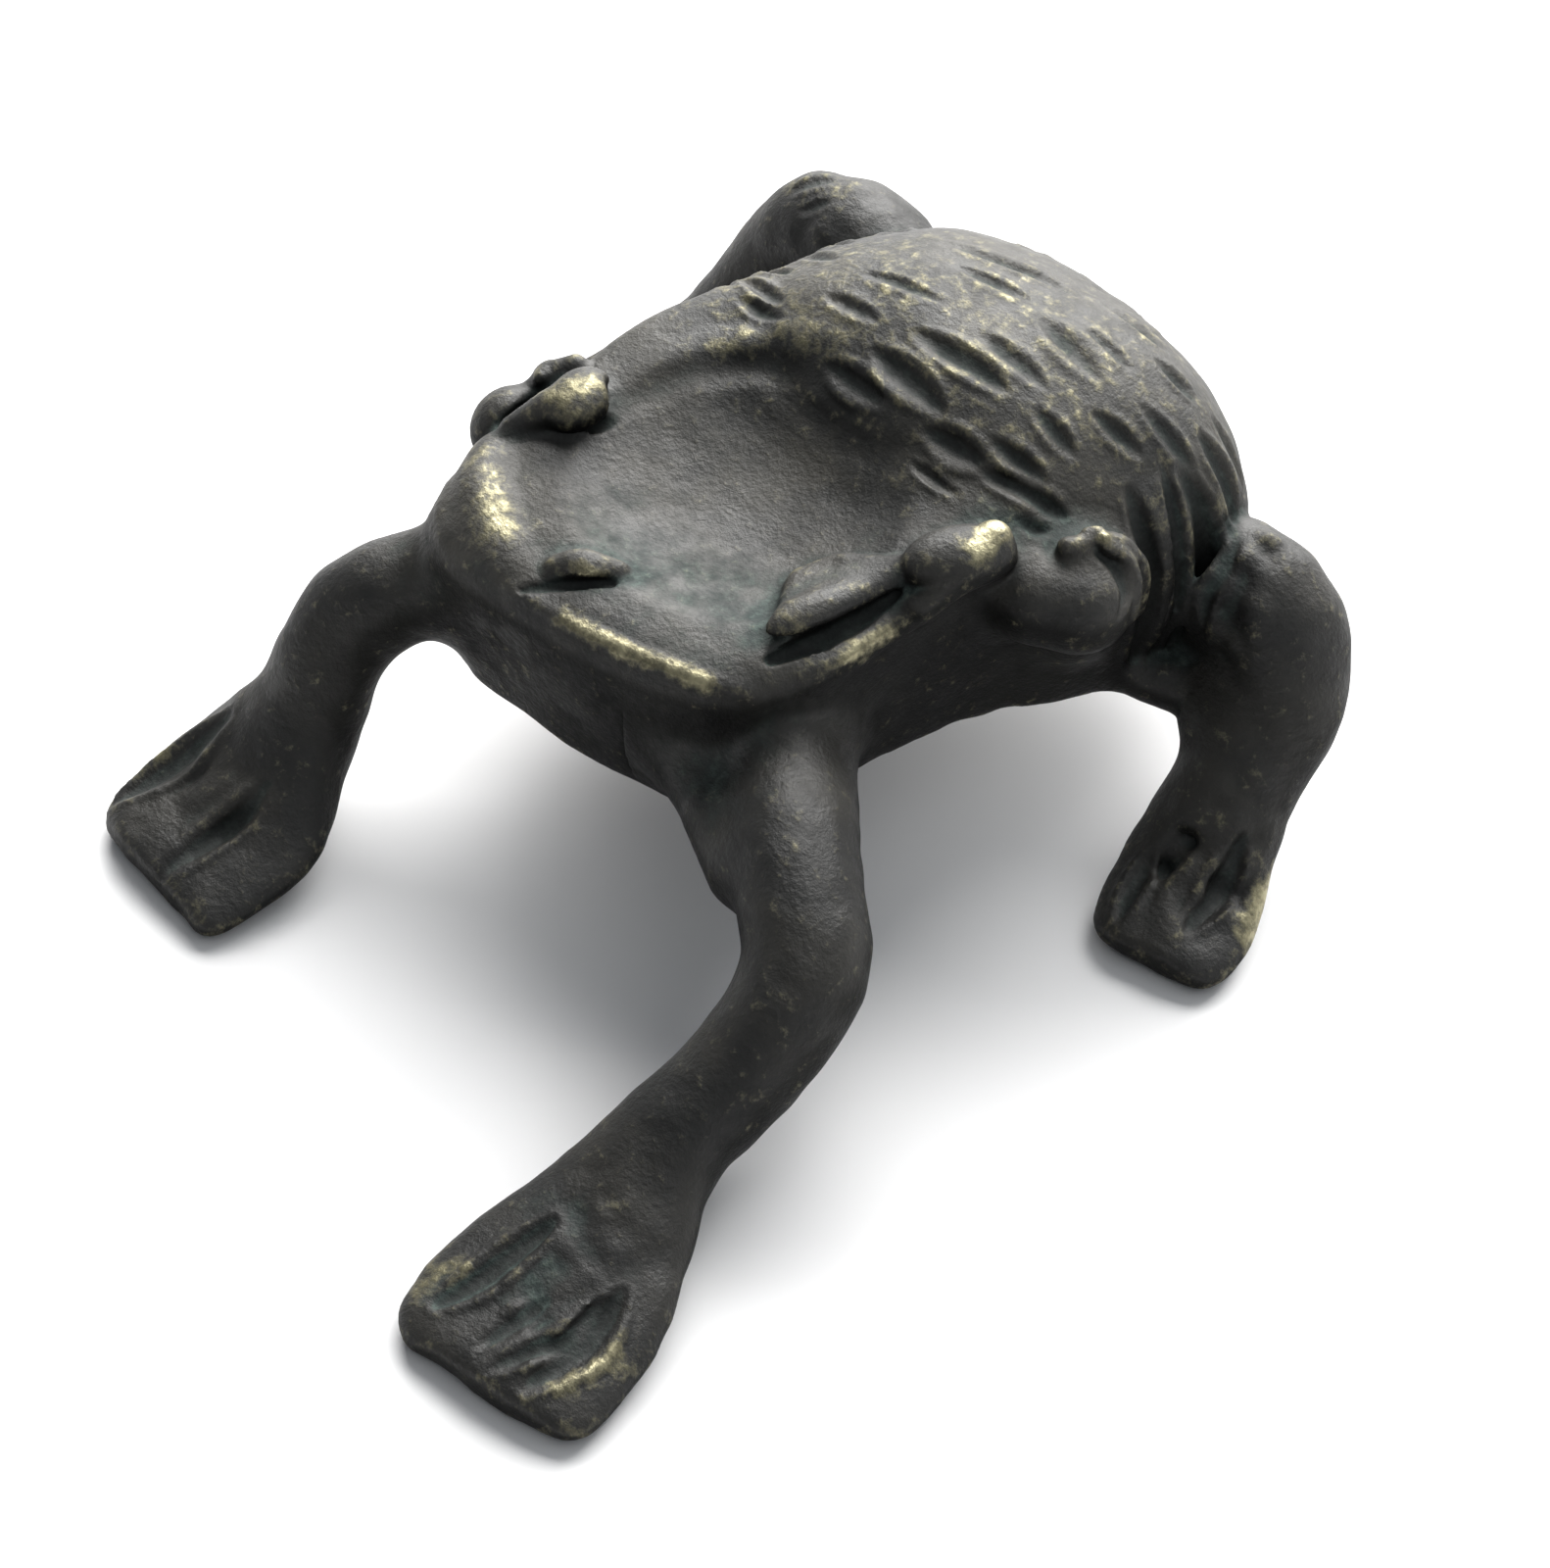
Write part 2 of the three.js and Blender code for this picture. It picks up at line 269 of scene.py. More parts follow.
def swelling(form, points, width, height):
    """Raises a soft-sided ridge along a path; a negative height presses a soft channel."""
    path, along = evenly(points, 0.2)
    path = settle(form, path)
    cut, coords = local_box(form, path, width)
    distance, bead = nearest_on(path, coords)
    swell = np.sin(math.pi * (0.06 + 0.88 * along)) ** 0.5
    across = np.minimum(distance / (width / 2), 1)
    form.field[cut] -= (height * swell[bead] * (1 - across * across) ** 2).astype(np.float32)


def crease(form, points, width, height):
    """Pinches the surface up into a sharp edge along a path."""
    path, along = evenly(points, 0.2)
    path = settle(form, path)
    cut, coords = local_box(form, path, width)
    distance, bead = nearest_on(path, coords)
    swell = np.sin(math.pi * (0.06 + 0.88 * along)) ** 0.5
    across = np.minimum(distance / (width / 2), 1)
    form.field[cut] -= (height * swell[bead] * (1 - across) ** 1.3).astype(np.float32)


def beads(points, radii):
    """A row of beads along a path, and their radii."""
    path, along = evenly(points, 0.18)
    return path, np.interp(along, np.linspace(0, 1, len(radii)), radii)


def roll(form, points, radii, fillet, snap=False):
    """Lays a roll of wax along a path onto a form."""
    path, sizes = beads(points, radii)
    if snap:
        path = settle(form, path)
    cut, coords = local_box(form, path, max(radii) + fillet + VOXEL)
    distance, bead = nearest_on(path, coords)
    form.field[cut] = melt(form.field[cut], distance - sizes[bead], fillet)


def slit(form, points, radii, softness=0.12):
    """Cuts a round-bottomed slit along a path out of a form."""
    path, sizes = beads(points, radii)
    cut, coords = local_box(form, path, max(radii) + softness + VOXEL)
    distance, bead = nearest_on(path, coords)
    form.field[cut] = -melt(-form.field[cut], distance - sizes[bead], softness)


def roughen(form, points, width, height):
    """Pits and crusts the surface around a path."""
    path, _ = evenly(points, 0.5)
    cut, coords = local_box(form, path, width / 2)
    distance, _ = nearest_on(path, coords)
    part = Form(form.start + [piece.start for piece in cut], form.field[cut])
    fall = np.clip(1 - (distance / (width / 2)) ** 2, 0, 1)
    form.field[cut] += (height * lumps(part, CRUST_GRAIN, CRUST_SEED) * fall).astype(np.float32)


# ---- forms ----

SHELLS = ("torso_shell", "head")
LEGS = ("left_foreleg", "right_foreleg", "left_hind_leg", "right_hind_leg")
PELLETS = ("left_eye", "right_eye", "left_brow", "right_brow", "left_nostril", "right_nostril",
           "left_eyelid", "right_eyelid")
SHELL_SOFTNESS = 0.40
LEG_SOFTNESS = 0.40
PELLET_SOFTNESS = 0.25
NECK_FILLET = 2.0
NO_FILLET = 0.01
FORELEG_FILLET = 2.2
HIND_LEG_FILLET = 0.9
PELLET_FILLET = 0.6
FILLETS = {node: HIND_LEG_FILLET if "hind" in node else FORELEG_FILLET for node in LEGS}
FILLETS.update({node: PELLET_FILLET for node in PELLETS})
FILLETS["left_eye"] = 1.8
FILLETS["left_brow"] = 1.1

forms = {}
for node in SHELLS + LEGS + PELLETS:
    softness = SHELL_SOFTNESS if node in SHELLS else LEG_SOFTNESS if node in LEGS else PELLET_SOFTNESS
    forms[node] = soften(node_form(node), softness)


def unevenness(form, broad, middling, fine):
    """Hand-modelled waviness at three sizes."""
    form.field += broad * lumps(form, 6.0, BROAD_SEED)
    form.field += middling * lumps(form, 2.4, MIDDLING_SEED)
    form.field += fine * lumps(form, 0.9, FINE_SEED)


for node in SHELLS:
    unevenness(forms[node], 0.07, 0.035, 0.012)
for node in LEGS:
    unevenness(forms[node], 0.08, 0.08, 0.026)

shell = empty()
melt_in(shell, forms["torso_shell"], NO_FILLET)
melt_in(shell, forms["head"], NECK_FILLET)

# ---- scoring of the back ----
# Each score crosses the back from one angle to another, measured round the spine from the left flank
# over the top (90) to the right flank, at a distance back from the middle of the frog.

SPINE_X = 0.5
SPINE_Z = 11.0
BACK_SCORES = (
    # back, from, to, width, depth, drift to the rear
    (14.8, 138, 125, 0.70, 0.28, 0.1),
    (14.1, 108, 88, 1.20, 0.42, 0.1),
    (14.5, 74, 59, 1.30, 0.52, 0.8),
    (15.0, 58, 40, 0.95, 0.42, 2.2),
    (15.8, 98, 75, 1.35, 0.55, -0.2),
    (16.3, 62, 48, 0.95, 0.45, 0.8),
    (16.9, 118, 103, 0.80, 0.30, 0.2),
    (17.8, 94, 69, 1.15, 0.50, 0.7),
    (19.0, 62, 50, 0.90, 0.42, 0.2),
    (19.2, 116, 95, 0.70, 0.30, 1.0),
    (20.0, 83, 65, 1.00, 0.35, 0.3),
    (21.6, 55, 43, 0.90, 0.42, 0.9),
    (22.9, 102, 85, 0.80, 0.32, 1.0),
    (23.4, 78, 61, 1.35, 0.38, -0.3),
    (24.2, 51, 34, 0.90, 0.42, 0.8),
    (25.1, 71, 58, 0.70, 0.32, 0.1),
    (24.1, 113, 79, 0.85, 0.38, 3.0),
    (27.4, 57, 45, 0.85, 0.40, 0.5),
    (28.0, 76, 58, 0.80, 0.35, 0.8),
)


def score(form, back, start, stop, width, depth, drift):
    """One stroke of the tool across the back."""
    points = []
    for t in np.linspace(0, 1, 7):
        angle = math.radians(start + t * (stop - start))
        outward = np.array([math.cos(angle), 0, math.sin(angle)])
        origin = np.array([SPINE_X, back + drift * t, SPINE_Z]) + 22 * outward
        point = land(form, origin, -outward)
        if point is not None:
            points.append(point)
    if len(points) > 3:
        groove(form, points, width, depth)


for entry in BACK_SCORES:
    score(shell, *entry)
for row in range(7):                                        # the right flank
    back = 15.5 + 2.3 * row
    for angle in np.arange(128 + 7 * (row % 2), 172, 16):
        start = angle + RANDOM.uniform(-2, 2)
        score(shell, back + RANDOM.uniform(-0.4, 0.4), start, start + RANDOM.uniform(10, 15),
              RANDOM.uniform(0.7, 1.0), RANDOM.uniform(0.28, 0.42), RANDOM.uniform(-0.6, 0.6))
for row in range(2):                                        # the rear
    for angle in np.arange(62 + 9 * row, 126, 20):
        start = angle + RANDOM.uniform(-3, 3)
        score(shell, 29.6 + 1.7 * row, start, start + RANDOM.uniform(12, 16),
              RANDOM.uniform(0.7, 0.9), RANDOM.uniform(0.28, 0.4), RANDOM.uniform(-0.5, 0.5))

FLANK_FOLDS = (
    # path down the left flank, width, depth
    (((12.8, 20.9, 20.8), (14.4, 20.6, 18.6), (15.4, 20.4, 15.6), (15.3, 20.0, 12.5), (14.8, 19.8, 9.8)),
     1.4, 0.75),
    (((12.7, 23.4, 21.2), (14.2, 22.8, 19.2), (15.4, 22.1, 16.1), (15.6, 22.0, 13.0)), 0.9, 0.40),
    (((13.2, 24.3, 20.6), (14.6, 24.5, 18.4), (15.6, 24.1, 15.6), (15.8, 23.0, 12.0), (15.0, 22.2, 9.6)),
     1.4, 0.80),
    (((12.4, 26.7, 20.8), (14.0, 26.8, 18.6), (15.2, 26.4, 16.4)), 1.2, 0.65),
    (((11.6, 28.6, 20.2), (13.2, 28.6, 18.0), (14.0, 28.2, 16.4)), 0.9, 0.36),
)
for path, width, depth in FLANK_FOLDS:
    groove(shell, path, width, depth)
swelling(shell, ((13.4, 22.2, 20.3), (15.2, 21.6, 16.8), (15.4, 21.0, 12.0)), 2.2, 0.30)

# ---- head details ----


def over_shell(places, lift):
    """Points that lie a little over (or under) the top of the shell."""
    return [(x, y, land(shell, (x, y, 40.0), (0, 0, -1))[2] + lift) for x, y in places]


FRONT_EDGE = ((-5.2, -6.2, 18.3), (-1.0, -5.7, 18.7), (2.7, -4.7, 18.8), (6.2, -3.3, 18.8), (8.2, -2.0, 18.6))
crease(shell, FRONT_EDGE, 1.6, 0.45)
swelling(shell, ((-11.6, -4.2, 17.6), (-11.8, -4.8, 15.0), (-10.8, -5.6, 12.0)), 10.0, 0.8)
swelling(shell, ((-13.6, 0.0, 17.8), (-11.6, -2.8, 18.2), (-9.0, -4.4, 18.5), (-6.8, -5.0, 18.6)), 4.0, 0.5)
swelling(shell, ((9.6, 1.2, 18.2), (10.8, 4.5, 18.9), (11.4, 8.5, 19.8)), 2.0, 0.35)
swelling(shell, ((-11.6, 8.0, 20.6), (-10.2, 11.6, 21.6), (-7.2, 14.2, 22.6), (-3.6, 15.2, 23.4)), 2.6, 0.18)
swelling(shell, ((-10.6, 6.0, 19.9), (-9.4, 10.0, 20.5), (-6.6, 12.6, 21.4), (-3.4, 13.4, 22.2)), 2.6, -0.22)
groove(shell, ((4.2, 13.3, 21.6), (5.8, 13.4, 21.3), (7.4, 13.8, 21.0)), 0.6, 0.35)
groove(shell, ((10.4, 14.8, 21.1), (11.9, 15.3, 20.9), (13.2, 16.2, 20.6)), 0.8, 0.25)

form = forms["right_brow"]
roll(form, ((-13.4, 0.8, 19.4), (-12.2, 2.8, 20.6), (-11.6, 4.6, 20.9)), (0.75, 1.1, 1.0), 0.3)
slit(form, ((-10.2, 5.8, 20.2), (-10.6, 6.3, 21.6)), (1.0, 1.0), 0.3)
form = forms["left_brow"]
roll(form, ((10.9, 7.8, 20.0), (11.4, 10.2, 21.3), (11.3, 12.4, 22.0)), (0.8, 1.0, 1.05), 0.3)
form = forms["left_nostril"]
for places, radii in (
    (((4.9, 5.0), (5.7, 6.6), (8.3, 8.2)), (0.70, 0.80, 0.45)),
    (((5.4, 4.2), (6.8, 5.8), (8.6, 7.9)), (0.80, 0.80, 0.45)),
    (((6.1, 3.3), (7.4, 5.0), (8.8, 7.6)), (0.80, 0.75, 0.45)),
    (((6.9, 2.4), (8.0, 4.2), (8.9, 7.2)), (0.75, 0.65, 0.40)),
):
    roll(form, over_shell(places, 0.10), radii, 0.7)
form = forms["right_nostril"]
roll(form, over_shell(((-4.4, -3.9), (-3.3, -2.6), (-2.0, -1.6)), 0.05), (0.5, 0.75, 0.5), 0.4)
form = forms["left_eye"]
roll(form, ((13.0, 14.2, 17.8), (13.9, 16.4, 17.2), (13.4, 17.0, 14.4)), (2.6, 2.7, 2.0), 1.0)
roll(form, ((13.8, 16.6, 19.6), (14.8, 17.7, 18.6), (15.2, 17.6, 16.8)), (1.1, 1.3, 1.0), 1.0)
form = forms["right_eyelid"]
roll(form, ((-15.8, 4.0, 17.4), (-15.2, 5.0, 19.2), (-14.4, 6.0, 20.0)), (1.0, 0.95, 0.6), 0.4)

# ---- legs ----

form = forms["left_foreleg"]
roll(form, ((0.5, -2.6, 12.8), (4.0, -3.2, 11.9), (8.0, -3.8, 11.3), (12.5, -5.2, 11.2)),
     (1.2, 1.7, 2.2, 2.6), 1.2)
form = forms["left_hind_leg"]
roll(form, ((14.0, 24.6, 10.2), (17.8, 24.6, 9.8), (20.4, 23.0, 7.2)), (1.5, 2.2, 2.8), 1.2)
roll(form, ((13.8, 19.2, 9.4), (15.3, 20.8, 8.4), (17.3, 22.6, 7.9), (19.4, 22.6, 7.4)),
     (1.0, 1.4, 1.8, 2.2), 1.2)
roll(form, ((22.8, 19.0, 3.2), (22.0, 17.6, 2.8)), (1.7, 1.6), 0.8)
form = forms["right_hind_leg"]
swelling(form, ((-19.6, 30.5, 15.2), (-21.2, 28.0, 14.2), (-22.4, 26.0, 12.0)), 8.0, 0.5)
groove(form, ((-20.6, 27.2, 15.4), (-19.8, 28.4, 16.0), (-18.8, 29.4, 16.4)), 0.9, 0.35)
groove(form, ((-19.0, 26.2, 15.6), (-17.8, 27.8, 16.4)), 0.7, 0.25)

# ---- melting the forms into one casting ----

casting = shell.copy()
for node, fillet in FILLETS.items():
    melt_in(casting, forms[node], fillet)

LEFT_SLOT = ((8.0, 0.0, 19.3), (8.8, 2.8, 19.5), (9.3, 5.4, 19.8), (9.5, 7.4, 20.2))
RIGHT_SLOT = over_shell(((-4.8, -6.0), (-3.2, -4.3), (-1.5, -2.5)), -0.05)
UNDER_RIGHT_BROW = ((-13.0, 0.6, 18.8), (-10.8, 3.0, 19.3), (-9.9, 4.8, 20.0))
LIP = ((9.8, 0.6, 19.2), (10.6, 3.4, 19.4), (11.0, 6.4, 19.8))
LID_CRESCENT = ((14.4, 16.7, 20.9), (15.5, 17.2, 19.9), (16.3, 16.9, 18.9), (16.6, 15.9, 18.2))
LID_RIM = ((13.7, 16.9, 21.0), (15.1, 17.9, 20.1), (16.0, 18.0, 18.6), (16.4, 17.0, 17.2))
THIGH_CREVICE = ((16.6, 25.6, 16.6), (17.3, 24.2, 15.2), (17.4, 23.2, 13.2))
for form in (casting, shell):
    slit(form, LEFT_SLOT, (0.35, 0.70, 0.62, 0.30))
    slit(form, RIGHT_SLOT, (0.22, 0.38, 0.30))
    slit(form, UNDER_RIGHT_BROW, (0.3, 0.45, 0.4))
    swelling(form, LIP, 1.2, 0.28)
groove(casting, LID_CRESCENT, 1.0, 0.50, berm=0.1)
roll(casting, LID_RIM, (0.3, 0.4, 0.4, 0.3), 0.3, snap=True)
groove(casting, THIGH_CREVICE, 0.9, 0.30)

CRUSTS = (
    # path, width, height of the pitted and crusted surface
    (((16.6, 27.4, 17.2), (18.2, 25.2, 16.4), (18.6, 23.2, 13.5)), 4.5, 0.11),
    (((20.4, -23.0, 4.4), (21.4, -29.0, 2.8)), 8.0, 0.06),
    (((-15.6, -18.0, 4.4), (-16.8, -22.6, 2.6)), 7.0, 0.05),
    (((22.8, 20.5, 5.2), (24.6, 15.0, 2.6)), 7.5, 0.08),
    (((13.4, 15.6, 20.4), (15.6, 19.0, 19.0)), 2.6, 0.06),
    (((-15.4, 22.0, 14.0), (-17.0, 28.0, 14.4)), 5.0, 0.08),
)
for path, width, height in CRUSTS:
    for form in (casting, shell):
        roughen(form, path, width, height)

TOE_GROOVES = (
    # path, width, depth
    (((18.6, -24.2, 4.1), (18.2, -28.5, 2.8), (17.6, -31.0, 2.2)), 1.3, 0.75),
    (((23.3, -25.2, 3.4), (23.7, -27.8, 2.8), (22.2, -31.6, 2.3)), 1.0, 0.50),
    (((23.8, -24.2, 3.4), (24.6, -27.2, 2.8), (24.2, -30.9, 2.4)), 1.5, 0.80),
    (((21.5, -27.0, 3.1), (21.2, -29.3, 2.8), (20.9, -31.2, 2.5)), 0.9, 0.35),
    (((-17.8, -16.6, 5.7), (-18.5, -19.2, 3.7), (-20.2, -23.4, 1.6)), 1.5, 0.80),
    (((-13.0, -17.4, 4.9), (-13.3, -20.4, 3.1), (-13.9, -24.6, 2.2)), 1.3, 0.55),
    (((21.6, 15.2, 3.9), (22.2, 12.9, 2.8), (22.9, 11.4, 2.2)), 1.0, 0.45),
    (((25.1, 18.6, 5.2), (25.7, 16.2, 3.2), (26.0, 13.6, 2.2)), 1.2, 0.60),
)
for path, width, depth in TOE_GROOVES:
    groove(casting, path, width, depth)
for form in (casting, shell):
    form.field = np.maximum(form.field, -form.axes()[2])    # nothing reaches under the floor

# ---- pieces ----

LAP = 0.04                      # how far a piece ducks under the one laid over it
LAP_RUN = 1.0
EDGE = 0.3                      # how far a piece reaches past its fillet
ROOT = 1.0                      # how deep a laid-on piece is rooted in the shell
FINE_RELIEF = soften(casting, 0.45)     # its value on the true surface tells hollows from high spots

# Where handling has rubbed the patina off, and where it has turned green: path, reach, strength.
RUBBED = (
    (((-7.0, 18.0, 24.6), (0.0, 20.0, 25.3), (6.0, 22.0, 24.8)), 8.0, 0.26),
    (((-9.0, 13.5, 22.3), (-5.0, 15.5, 23.5)), 2.4, 0.34),
    (((-12.4, -1.4, 18.6), (-10.5, -3.2, 18.9), (-8.2, -4.2, 18.9)), 1.3, 0.62),
    (((-1.6, -5.6, 18.9), (2.7, -4.7, 19.0), (6.4, -3.2, 19.0)), 0.6, 0.62),
    (((-12.2, 2.6, 21.4), (-11.2, 4.4, 22.0)), 1.0, 0.6),
    (((11.6, 11.0, 22.6), (11.3, 12.6, 22.9)), 0.8, 0.85),
    (((10.4, 3.6, 19.2), (10.9, 5.6, 19.4)), 0.7, 0.55),
    (((5.6, 4.4, 20.2), (7.6, 5.4, 20.8)), 1.6, 0.16),
    (((14.4, 17.4, 21.2), (16.2, 19.2, 18.4), (15.6, 19.0, 15.2)), 0.6, 0.2),
    (((-20.4, 28.2, 15.6), (-18.0, 29.0, 16.2)), 1.6, 0.26),
    (((-2.6, -3.4, 19.9), (-1.6, -2.6, 19.7)), 0.6, 0.5),
    (((25.2, -29.6, 2.6), (26.2, -26.4, 2.6)), 1.0, 0.5),
    (((16.2, -30.6, 2.0), (16.6, -29.0, 2.6)), 0.9, 0.5),
    (((27.0, 19.0, 2.6), (28.0, 16.2, 2.0)), 1.0, 0.7),
    (((-19.6, -20.0, 3.0), (-20.4, -19.0, 3.0)), 0.9, 0.4),
)
GREENED = (
    (((-13.8, 1.2, 19.4), (-13.4, 3.6, 19.8)), 1.5, 0.9),
    (((5.4, 2.0, 18.9), (7.0, 5.4, 19.4), (9.9, 8.6, 20.0)), 1.5, 0.8),
    (((-3.0, -1.0, 18.7), (3.0, 1.0, 18.4), (6.0, 0.0, 18.8)), 4.5, 0.45),
    (((-1.2, -2.0, 18.9), (-0.8, -1.6, 18.9)), 0.9, 0.8),
    (((17.2, -31.0, 2.2), (18.6, -27.0, 3.2)), 1.0, 0.7),
    (((18.0, -24.0, 4.2), (21.0, -27.5, 3.0)), 2.0, 0.4),
    (((9.0, 13.6, 21.2), (13.6, 17.6, 20.4)), 1.3, 0.7),
    (((15.2, 24.4, 17.4), (15.6, 23.4, 12.0)), 2.5, 0.7),
    (((-15.0, 22.0, 14.0), (-13.0, 28.0, 14.0)), 2.5, 0.7),
    (((-8.0, -6.5, 14.0), (6.0, -5.0, 14.0)), 6.0, 0.35),
)


def field_mesh(name, form):
    """A closed mesh of quads around the inside of a form."""
    grid = openvdb.FloatGrid(1.0)
    grid.transform = openvdb.createLinearTransform(VOXEL)
    field = np.clip(form.field, -1.0, 1.0).astype(np.float32)
    grid.copyFromArray(field, ijk=tuple(int(i) for i in form.start))
    grid.gridClass = openvdb.GridClass.LEVEL_SET
    points, quads = grid.convertToQuads(0.0)
    points, quads = largest_part(points, quads)
    mesh = bpy.data.meshes.new(name)
    mesh.vertices.add(len(points))
    mesh.vertices.foreach_set("co", (points * MM).astype(np.float32).ravel())
    mesh.loops.add(quads.size)
    mesh.loops.foreach_set("vertex_index", quads[:, ::-1].astype(np.int32).ravel())
    mesh.polygons.add(len(quads))
    mesh.polygons.foreach_set("loop_start", np.arange(0, quads.size, 4, dtype=np.int32))
    mesh.polygons.foreach_set("use_smooth", np.ones(len(quads), dtype=bool))
    mesh.update(calc_edges=True)
    mesh.validate()
    layers = {"fine_relief": value_at(FINE_RELIEF, points), "rubbed": stains(RUBBED, points),
              "greened": stains(GREENED, points)}
    for label, values in layers.items():
        layer = mesh.attributes.new(label, "FLOAT", "POINT")
        layer.data.foreach_set("value", values.astype(np.float32))
    return mesh


def stains(table, points):
    """The strongest of a table of soft patches at each point."""
    total = np.zeros(len(points))
    for path, reach, strength in table:
        spots, _ = evenly(path, 0.5)
        distance = np.min([np.linalg.norm(points - spot, axis=1) for spot in spots], axis=0)
        fall = np.clip(1 - distance / (1.8 * reach), 0, 1)
        total = np.maximum(total, strength * fall * fall * (3 - 2 * fall))
    return total


def largest_part(points, quads):
    """Keeps only the largest connected part, so that no crumb floats loose."""
    label = np.arange(len(points))
    while True:
        low = label[quads].min(axis=1)
        fresh = label.copy()
        for corner in range(4):
            np.minimum.at(fresh, quads[:, corner], low)
        fresh = fresh[fresh]
        if np.array_equal(fresh, label):
            break
        label = fresh
    names, counts = np.unique(label[quads[:, 0]], return_counts=True)
    keep = label[quads[:, 0]] == names[counts.argmax()]
    quads = quads[keep]
    used = np.unique(quads)
    index = np.zeros(len(points), dtype=np.int64)
    index[used] = np.arange(len(used))
    return points[used], index[quads]


SLOTS = {entry["node"]: entry["material_slot"] for entry in frame["record"]["subparts"]}
pieces = {}


def make_piece(node, form):
    """Turns a node's share of the casting into an object that stands for the node."""
    mesh = field_mesh("cast_" + node, form)
    piece = bpy.data.objects.new("cast_" + node, mesh)
    bpy.context.scene.collection.objects.link(piece)
    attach(piece, "root")
    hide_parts(node)
    pieces[node] = piece


def lay_over(node, source, under, fillet):
    """A laid-on node's share: what is near its own form, thinning to its edge and rooted in its neighbour."""
    form = forms[node]
    cut = form.cut_in(source)
    past = form.field - fillet - EDGE
    thinning = LAP * np.clip((past + LAP_RUN) / LAP_RUN, 0, 1)
    field = np.maximum(np.maximum(source.field[cut] + thinning, past), -under.field[cut] - ROOT)
    make_piece(node, Form(form.start, field))
    cover.field[cut] = np.minimum(cover.field[cut], past)


def ducked(form):
    """A form lowered a hair where other pieces lie over it."""
    return Form(form.start, form.field + LAP * np.clip(-cover.field / LAP_RUN, 0, 1))


cover = empty()                 # negative where a piece already lies
for node, fillet in FILLETS.items():
    lay_over(node, casting, shell, fillet)
torso = forms["torso_shell"]
torso_alone = empty()
melt_in(torso_alone, torso, NO_FILLET)
lay_over("head", ducked(shell), torso_alone, NECK_FILLET)
field = ducked(shell).field[torso.cut_in(shell)]
make_piece("torso_shell", Form(torso.start, np.maximum(field, torso.field - EDGE)))

# ---- patina and painted shade ----


class Nodes:
    """Short ways to add and join the shader nodes of one material."""

    def __init__(self, name):
        self.material = bpy.data.materials.new(name)
        self.material.use_nodes = True
        self.tree = self.material.node_tree
        self.shader = self.tree.nodes["Principled BSDF"]
        self.place = self.add("ShaderNodeTexCoord").outputs["Object"]

    def add(self, kind, **settings):
        node = self.tree.nodes.new(kind)
        for key, value in settings.items():
            setattr(node, key, value)
        return node

    def feed(self, value, socket):
        """Gives a socket a number, a colour or the output of another node."""
        if isinstance(value, bpy.types.NodeSocket):
            self.tree.links.new(value, socket)
        elif isinstance(value, tuple):
            socket.default_value = (*value, 1)
        else:
            socket.default_value = value

    def attribute(self, label):
        return self.add("ShaderNodeAttribute", attribute_name=label).outputs["Fac"]

    def noise(self, scale, detail, roughness=0.6):
        node = self.add("ShaderNodeTexNoise")
        self.feed(self.place, node.inputs["Vector"])
        for key, number in (("Scale", scale), ("Detail", detail), ("Roughness", roughness)):
            self.feed(number, node.inputs[key])
        return node.outputs["Fac"]

    def remap(self, value, low, high, to_low=0.0, to_high=1.0):
        """A smooth step from one range to another."""
        node = self.add("ShaderNodeMapRange", interpolation_type="SMOOTHSTEP")
        numbers = {"Value": value, "From Min": low, "From Max": high, "To Min": to_low, "To Max": to_high}
        for key, number in numbers.items():
            self.feed(number, node.inputs[key])
        return node.outputs["Result"]

    def combine(self, operation, first, second):
        node = self.add("ShaderNodeMath", operation=operation)
        self.feed(first, node.inputs[0])
        self.feed(second, node.inputs[1])
        return node.outputs["Value"]

    def total(self, *parts):
        """The sum of values, each with its weight."""
        terms = [self.combine("MULTIPLY", value, weight) for value, weight in parts]
        while len(terms) > 1:
            terms[:2] = [self.combine("ADD", terms[0], terms[1])]
        return terms[0]

    def mix(self, factor, first, second):
        """A mix of two colours."""
        node = self.add("ShaderNodeMix", data_type="RGBA")
        self.feed(factor, node.inputs["Factor"])
        colours = [socket for socket in node.inputs if socket.type == "RGBA"]
        self.feed(first, colours[0])
        self.feed(second, colours[1])
        return [socket for socket in node.outputs if socket.type == "RGBA"][0]


# painted shade: the near-black used for the steep and downward-facing sides
PAINTED_SHADE_BLACK = ((0.004, 0.004, 0.004), (0.009, 0.009, 0.008))
BRONZE = ((0.014, 0.014, 0.013), (0.032, 0.030, 0.025))
SPECK = (0.09, 0.083, 0.066)
VERDIGRIS = ((0.020, 0.033, 0.031), (0.060, 0.088, 0.078))
# painted shade: the near-black laid into the hollows
HOLLOW_SHADE_BLACK = (0.006, 0.0065, 0.006)
BARE_METAL = (0.40, 0.37, 0.24)
BUMP_HEIGHT = 0.25 * MM


